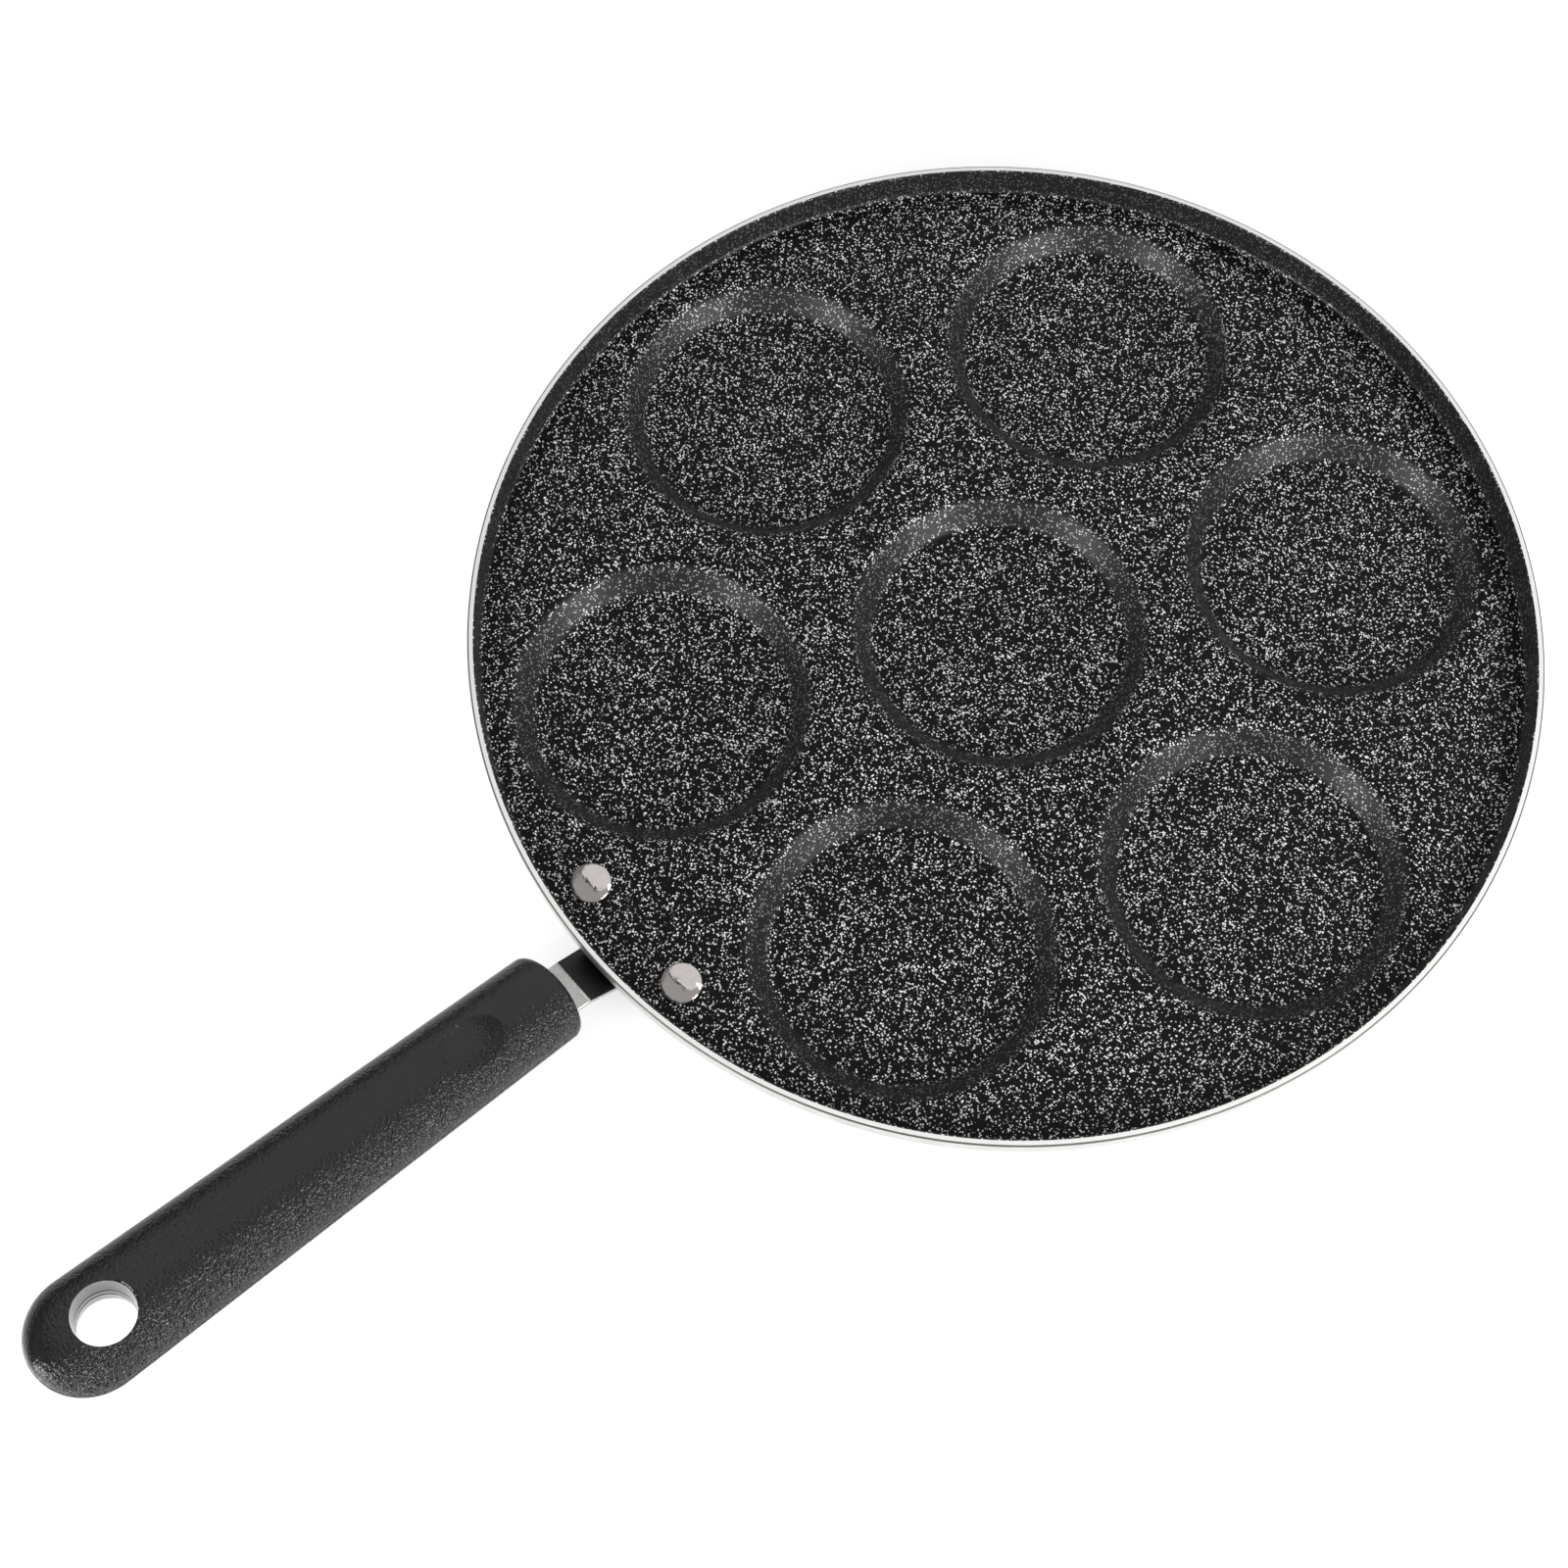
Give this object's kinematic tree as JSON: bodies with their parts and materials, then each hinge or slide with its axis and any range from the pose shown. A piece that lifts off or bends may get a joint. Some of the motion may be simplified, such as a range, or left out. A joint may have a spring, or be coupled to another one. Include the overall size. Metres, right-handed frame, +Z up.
{
  "type": "aebleskiver pan",
  "caption": "Shallow round non-stick pan with flat-floored round cups, a bare metal rim, and a black moulded grip on a riveted steel bracket.",
  "frame": {"origin": "centre of the face that rests on the hob, under the middle cup", "axes": "+Z up out of the tray, the grip points along -Y, +X is to the cook's right when the grip points at the cook"},
  "size_m": [0.26, 0.4038, 0.0507],
  "materials": {
    "coated_aluminium": "pressed aluminium with a dark speckled non-stick coating inside and a bare turned rim",
    "rivet_metal": "polished",
    "coated_steel": "steel strip, black coated up to its bare tongue",
    "phenolic": "moulded black phenolic, satin with a fine grain",
    "zinc_steel": "zinc plated"
  },
  "bodies": {
    "root": {"pan_body": "coated_aluminium", "rivet_left": "rivet_metal", "rivet_right": "rivet_metal", "handle_bracket": "coated_steel", "handle_grip": "phenolic", "spring_washer": "zinc_steel", "grip_screw": "zinc_steel"}
  },
  "joints": []
}
